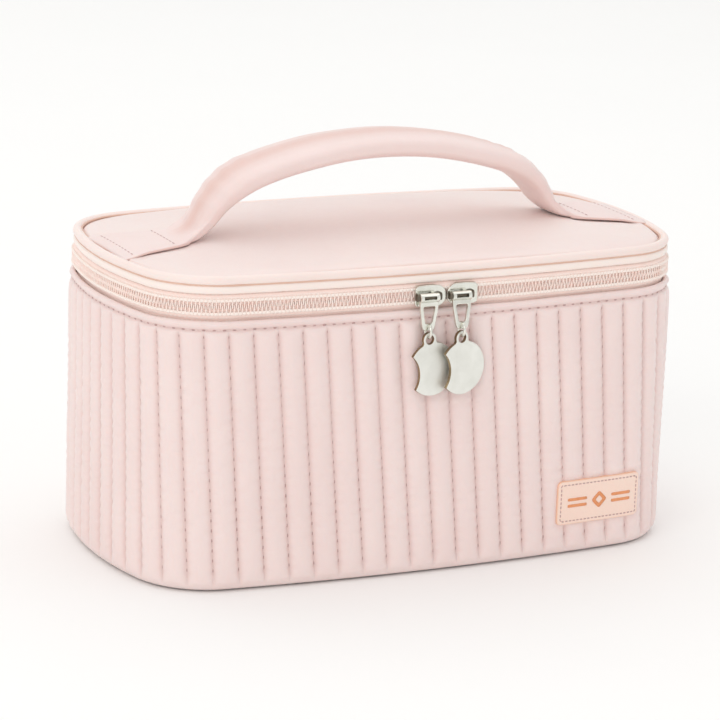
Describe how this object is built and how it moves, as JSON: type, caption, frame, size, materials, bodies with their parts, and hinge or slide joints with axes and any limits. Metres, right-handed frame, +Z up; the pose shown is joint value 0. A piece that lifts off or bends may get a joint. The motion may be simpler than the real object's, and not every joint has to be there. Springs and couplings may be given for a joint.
{
  "type": "makeup bag",
  "caption": "Padded, quilted makeup bag with bowed sides, a zipped lid hinged along the back, hanging zip pulls and a sewn arched carry handle.",
  "frame": {"origin": "centre of the flat base, on the surface that the bag stands on", "axes": "+X along the front towards the label end, -Y towards the front with the zip pulls, +Z up"},
  "size_m": [0.2204, 0.1278, 0.1522],
  "materials": {
    "leather_pink": "soft grained faux leather, satin",
    "leather_cream": "soft faux leather, paler on the rolled edges",
    "label_leather": "smooth peach leather",
    "label_print": "foil-free printed motif, matte",
    "padding": "soft foam and wadding",
    "stiffener_board": "flexible plastic board",
    "lining_fabric": "plain woven polyester lining",
    "binding_tape": "ribbed binding tape",
    "thread": "twisted polyester thread",
    "zip_tape": "herringbone zip tape",
    "zip_coil": "nylon coil",
    "nickel": "polished nickel plate"
  },
  "bodies": {
    "base": {"base_panel": "leather_pink", "base_board": "stiffener_board", "base_lining": "lining_fabric", "outer_wall": "leather_pink", "wall_foam": "padding", "wall_interlining": "padding", "wall_lining": "lining_fabric", "rim_hem": "leather_pink", "inner_rim_binding": "binding_tape", "inner_base_binding": "binding_tape", "quilt_stitching": "thread", "rim_stitching": "thread", "lower_zip_tape": "zip_tape", "lower_zip_coil": "zip_coil", "hinge_strip_lower": "leather_pink", "label_patch": "label_leather", "label_stitching": "thread", "label_motif": "label_print"},
    "lid": {"lid_top_panel": "leather_pink", "lid_foam": "padding", "lid_board": "stiffener_board", "lid_lining": "lining_fabric", "lid_band": "leather_cream", "lid_piping": "leather_cream", "lid_inner_binding": "binding_tape", "upper_zip_tape": "zip_tape", "upper_zip_coil": "zip_coil", "hinge_strip_upper": "leather_pink", "handle_cover": "leather_pink", "handle_core": "padding", "handle_stitching": "thread"},
    "left_slider": {"left_slider_body": "nickel", "left_slider_crown": "nickel"},
    "left_pull": {"left_pull_loop": "nickel"},
    "left_ring": {"left_jump_ring": "nickel"},
    "left_tag": {"left_pull_tag": "nickel"},
    "right_slider": {"right_slider_body": "nickel", "right_slider_crown": "nickel"},
    "right_pull": {"right_pull_loop": "nickel"},
    "right_ring": {"right_jump_ring": "nickel"},
    "right_tag": {"right_pull_tag": "nickel"}
  },
  "joints": [
    {"name": "lid_hinge", "type": "hinge", "parent": "base", "child": "lid", "pos_m": [0, 0.059, 0.1038], "axis": [-1, 0, 0], "range_deg": [0, 110]},
    {"name": "left_slider_travel", "type": "hinge", "parent": "base", "child": "left_slider", "pos_m": [0, 0.74, 0.1038], "axis": [0, 0, -1], "range_deg": [0, 4.7]},
    {"name": "left_pull_swing", "type": "hinge", "parent": "left_slider", "child": "left_pull", "pos_m": [-0.00674, -0.06327, 0.1038], "axis": [-1, 0.0084, 0], "range_deg": [0, 120]},
    {"name": "left_ring_swing", "type": "hinge", "parent": "left_pull", "child": "left_ring", "pos_m": [-0.00674, -0.06327, 0.09265], "axis": [-1, 0.0084, 0], "range_deg": [0, 45]},
    {"name": "left_tag_swing", "type": "hinge", "parent": "left_ring", "child": "left_tag", "pos_m": [-0.00674, -0.06327, 0.09075], "axis": [-1, 0.0084, 0], "range_deg": [0, 45]},
    {"name": "right_slider_travel", "type": "hinge", "parent": "base", "child": "right_slider", "pos_m": [0, 0.74, 0.1038], "axis": [0, 0, 1], "range_deg": [0, 4.7]},
    {"name": "right_pull_swing", "type": "hinge", "parent": "right_slider", "child": "right_pull", "pos_m": [0.00674, -0.06327, 0.1038], "axis": [-1, -0.0084, 0], "range_deg": [0, 120]},
    {"name": "right_ring_swing", "type": "hinge", "parent": "right_pull", "child": "right_ring", "pos_m": [0.00676, -0.06463, 0.09273], "axis": [-1, -0.0084, 0], "range_deg": [0, 45]},
    {"name": "right_tag_swing", "type": "hinge", "parent": "right_ring", "child": "right_tag", "pos_m": [0.00676, -0.06463, 0.09083], "axis": [-1, -0.0084, 0], "range_deg": [0, 45]}
  ]
}
